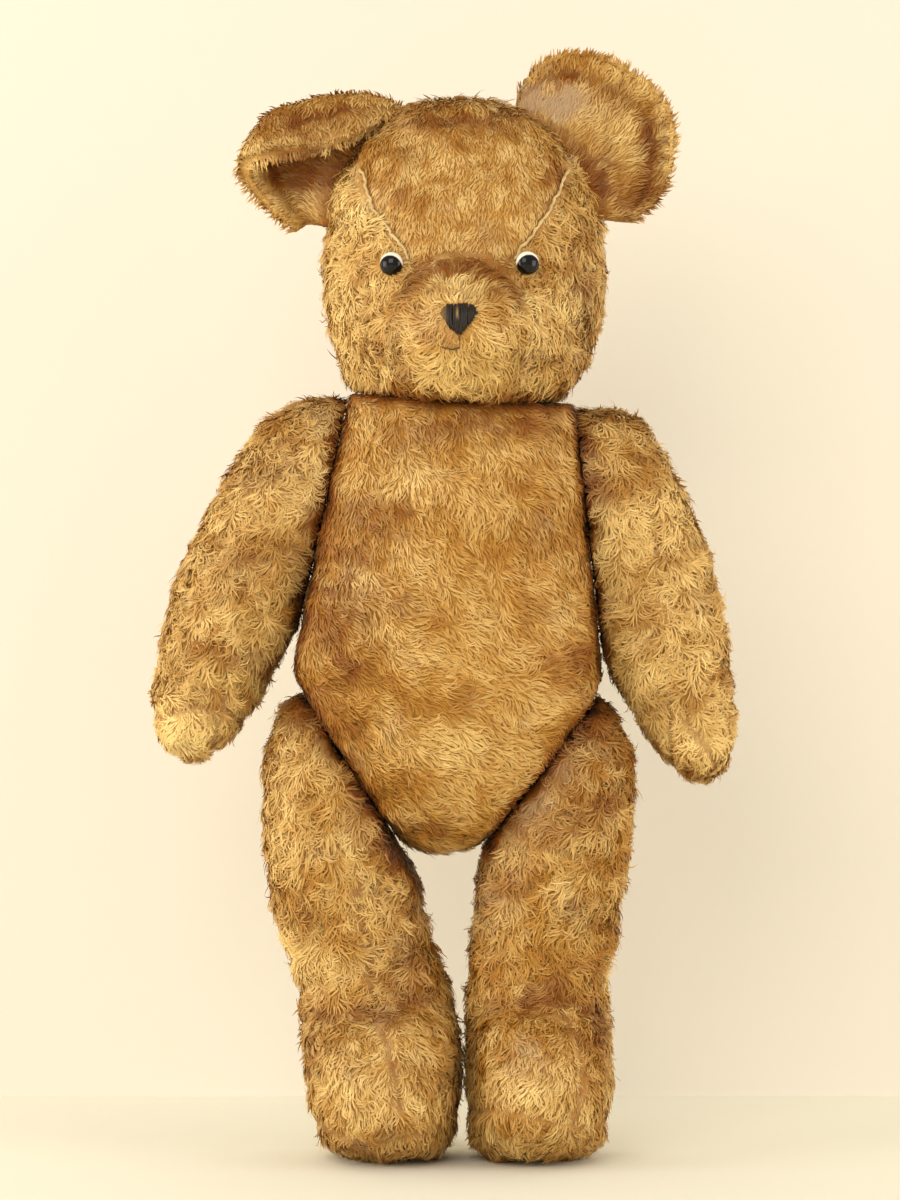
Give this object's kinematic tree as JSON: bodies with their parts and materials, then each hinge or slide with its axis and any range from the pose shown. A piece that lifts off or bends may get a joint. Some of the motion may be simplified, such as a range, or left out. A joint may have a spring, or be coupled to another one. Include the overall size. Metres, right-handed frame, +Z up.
{
  "type": "teddy bear",
  "caption": "Large old jointed teddy bear in worn gold plush, standing on flat feet, with a turning head, arms and legs and one folded ear.",
  "frame": {"origin": "on the ground, at the middle of the bear's footprint box", "axes": "+Z up through the head; the face looks along -Y; the bear's own left arm is on the +X side"},
  "size_m": [0.337, 0.174, 0.6376],
  "materials": {
    "plush": "matted, worn gold mohair plush",
    "pad_plush": "short, rubbed pile on paws and soles",
    "stuffing": "packed wood wool",
    "thread": "black cotton, a little worn",
    "eye_glass": "polished glass, white at the back with a black pupil",
    "hardboard": "plain pressed board",
    "steel": "dull, slightly tarnished"
  },
  "bodies": {
    "torso": {"left_hip_disc_in_torso": "hardboard", "left_hip_washer_in_torso": "steel", "left_shoulder_disc_in_torso": "hardboard", "left_shoulder_washer_in_torso": "steel", "neck_disc_in_torso": "hardboard", "neck_washer_in_torso": "steel", "right_hip_disc_in_torso": "hardboard", "right_hip_washer_in_torso": "steel", "right_shoulder_disc_in_torso": "hardboard", "right_shoulder_washer_in_torso": "steel", "torso_back_panel": "plush", "torso_front_panel": "plush", "torso_stuffing": "stuffing"},
    "head": {"head_gusset": "plush", "head_left_panel": "plush", "head_right_panel": "plush", "head_stuffing": "stuffing", "left_ear_back": "plush", "left_ear_front": "plush", "left_eye": "eye_glass", "mouth_stitching": "thread", "neck_outer_disc": "hardboard", "neck_outer_washer": "steel", "neck_split_pin": "steel", "nose_stitching": "thread", "right_ear_back": "plush", "right_ear_front": "plush", "right_eye": "eye_glass"},
    "left_arm": {"left_arm_inner_panel": "plush", "left_arm_outer_panel": "plush", "left_arm_stuffing": "stuffing", "left_paw_pad": "pad_plush", "left_shoulder_outer_disc": "hardboard", "left_shoulder_outer_washer": "steel", "left_shoulder_split_pin": "steel"},
    "right_arm": {"right_arm_inner_panel": "plush", "right_arm_outer_panel": "plush", "right_arm_stuffing": "stuffing", "right_paw_pad": "pad_plush", "right_shoulder_outer_disc": "hardboard", "right_shoulder_outer_washer": "steel", "right_shoulder_split_pin": "steel"},
    "left_leg": {"left_hip_outer_disc": "hardboard", "left_hip_outer_washer": "steel", "left_hip_split_pin": "steel", "left_leg_inner_panel": "plush", "left_leg_outer_panel": "plush", "left_leg_stuffing": "stuffing", "left_sole_pad": "pad_plush"},
    "right_leg": {"right_hip_outer_disc": "hardboard", "right_hip_outer_washer": "steel", "right_hip_split_pin": "steel", "right_leg_inner_panel": "plush", "right_leg_outer_panel": "plush", "right_leg_stuffing": "stuffing", "right_sole_pad": "pad_plush"}
  },
  "joints": [
    {"name": "neck_turn", "type": "hinge", "parent": "torso", "child": "head", "pos_m": [0.01064, 0.01596, 0.43669], "axis": [0.0487, -0.0698, 0.9964], "range_deg": [-180, 180]},
    {"name": "left_shoulder_swing", "type": "hinge", "parent": "torso", "child": "left_arm", "pos_m": [0.07884, 0.01596, 0.39831], "axis": [-0.9942, 0, -0.108], "range_deg": [-100, 100]},
    {"name": "right_shoulder_swing", "type": "hinge", "parent": "torso", "child": "right_arm", "pos_m": [-0.06099, 0.01596, 0.40515], "axis": [-0.9789, 0, 0.2045], "range_deg": [-100, 100]},
    {"name": "left_hip_swing", "type": "hinge", "parent": "torso", "child": "left_leg", "pos_m": [0.05521, 0.01596, 0.22226], "axis": [-0.7902, 0, 0.6129], "range_deg": [-80, 100]},
    {"name": "right_hip_swing", "type": "hinge", "parent": "torso", "child": "right_leg", "pos_m": [-0.05466, 0.01596, 0.22763], "axis": [-0.8462, 0, -0.5329], "range_deg": [-80, 100]}
  ]
}
